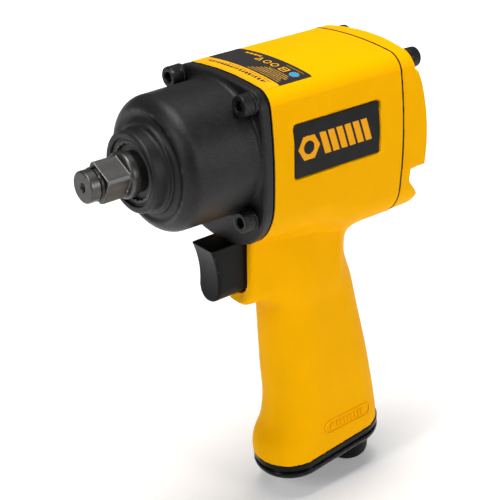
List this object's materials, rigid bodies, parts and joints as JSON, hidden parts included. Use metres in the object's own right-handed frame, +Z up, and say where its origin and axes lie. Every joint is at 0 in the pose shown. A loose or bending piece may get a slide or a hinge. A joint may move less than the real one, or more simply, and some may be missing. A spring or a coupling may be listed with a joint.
{
  "type": "impact wrench",
  "caption": "Compact pistol-grip air impact wrench with a 1/2 inch square drive, black hammer case, yellow housing with pistol grip, trigger, reverse knob and bottom air inlet.",
  "frame": {"origin": "centre of the square drive at its shoulder, on the anvil axis", "axes": "+X out of the nose along the anvil axis, +Y to the tool's left, +Z up"},
  "size_m": [0.1548, 0.062, 0.2099],
  "materials": {
    "yellow_housing": "satin yellow powder coat",
    "black_case": "black fine-textured powder coat",
    "anvil_steel": "dark phosphated steel with turned and ground faces",
    "black_oxide_steel": "black oxide",
    "machined_steel": "ground steel",
    "hardened_steel": "hardened and oiled steel",
    "bronze": "oiled bronze",
    "black_rubber": "moulded rubber",
    "gasket_fibre": "black fibre gasket",
    "trigger_plastic": "black moulded nylon",
    "deflector_plastic": "glossy black moulding",
    "vane_fibre": "phenolic laminate",
    "felt": "pressed felt",
    "plate_print": null
  },
  "bodies": {
    "root": {"hammer_case": "black_case", "anvil_bushing": "bronze", "anvil_seal": "anvil_steel", "cage_thrust_washer": "hardened_steel", "case_gasket": "gasket_fibre", "case_screws": "black_oxide_steel", "case_screw_washers": "black_oxide_steel", "cover_screws": "black_oxide_steel", "cover_screw_washers": "black_oxide_steel", "front_end_plate": "machined_steel", "cylinder": "machined_steel", "rear_end_plate": "machined_steel", "cylinder_dowel": "machined_steel", "front_bearing_outer_race": "machined_steel", "rear_bearing_outer_race": "machined_steel", "motor_housing": "yellow_housing", "rear_cover_gasket": "gasket_fibre", "rear_cover": "yellow_housing", "reverse_valve_bushing": "bronze", "detent_ball": "machined_steel", "detent_spring": "machined_steel", "throttle_seat": "bronze", "throttle_spring": "machined_steel", "spring_retainer": "machined_steel", "exhaust_deflector": "deflector_plastic", "exhaust_muffler": "felt", "air_inlet": "black_oxide_steel", "inlet_screen": "machined_steel", "name_plate_left": "plate_print", "name_plate_right": "plate_print"},
    "anvil_body": {"anvil": "anvil_steel", "retaining_ring_oring": "black_rubber", "socket_retaining_ring": "black_oxide_steel"},
    "rotor_body": {"hammer_cage": "hardened_steel", "hammer_pins": "hardened_steel", "rotor": "machined_steel", "rotor_vanes": "vane_fibre", "front_bearing_inner_race": "machined_steel", "rear_bearing_inner_race": "machined_steel"},
    "front_hammer_body": {"front_hammer": "hardened_steel"},
    "rear_hammer_body": {"rear_hammer": "hardened_steel"},
    "front_balls_body": {"front_bearing_balls": "machined_steel"},
    "rear_balls_body": {"rear_bearing_balls": "machined_steel"},
    "trigger_body": {"trigger": "trigger_plastic", "trigger_rod": "machined_steel"},
    "throttle_valve_body": {"throttle_valve": "bronze"},
    "reverse_body": {"reverse_valve": "bronze", "reverse_knob": "black_oxide_steel"}
  },
  "joints": [
    {"name": "rotor_spin", "type": "hinge", "parent": "root", "child": "rotor_body", "pos_m": [-0.085, 0, 0], "axis": [1, 0, 0], "continuous": true},
    {"name": "anvil_spin", "type": "hinge", "parent": "root", "child": "anvil_body", "pos_m": [0, 0, 0], "axis": [1, 0, 0], "continuous": true},
    {"name": "front_ball_orbit", "type": "hinge", "parent": "root", "child": "front_balls_body", "pos_m": [-0.061, 0, 0], "axis": [1, 0, 0], "continuous": true},
    {"name": "rear_ball_orbit", "type": "hinge", "parent": "root", "child": "rear_balls_body", "pos_m": [-0.109, 0, 0], "axis": [1, 0, 0], "continuous": true},
    {"name": "front_hammer_rock", "type": "hinge", "parent": "rotor_body", "child": "front_hammer_body", "pos_m": [-0.0286, 0, 0.0168], "axis": [1, 0, 0], "range_deg": [-4, 4]},
    {"name": "rear_hammer_rock", "type": "hinge", "parent": "rotor_body", "child": "rear_hammer_body", "pos_m": [-0.0402, 0, -0.0168], "axis": [1, 0, 0], "range_deg": [-4, 4]},
    {"name": "trigger_pull", "type": "slide", "parent": "root", "child": "trigger_body", "axis": [-1, 0, 0], "range_m": [0, 0.005], "stiffness_N_per_m": 1500, "springref_m": -0.003},
    {"name": "throttle_lift", "type": "slide", "parent": "root", "child": "throttle_valve_body", "axis": [0, 0, -1], "range_m": [0, 0.0025], "deforming": ["throttle_spring"]},
    {"name": "reverse_turn", "type": "hinge", "parent": "root", "child": "reverse_body", "pos_m": [-0.125, 0, -0.0318], "axis": [1, 0, 0], "range_deg": [-40, 40]}
  ],
  "couplings": [
    {"joint": "anvil_spin", "follows": "rotor_spin", "ratio": 1},
    {"joint": "front_ball_orbit", "follows": "rotor_spin", "ratio": 0.4028},
    {"joint": "rear_ball_orbit", "follows": "rotor_spin", "ratio": 0.4028},
    {"joint": "throttle_lift", "follows": "trigger_pull", "ratio": 0.5}
  ]
}
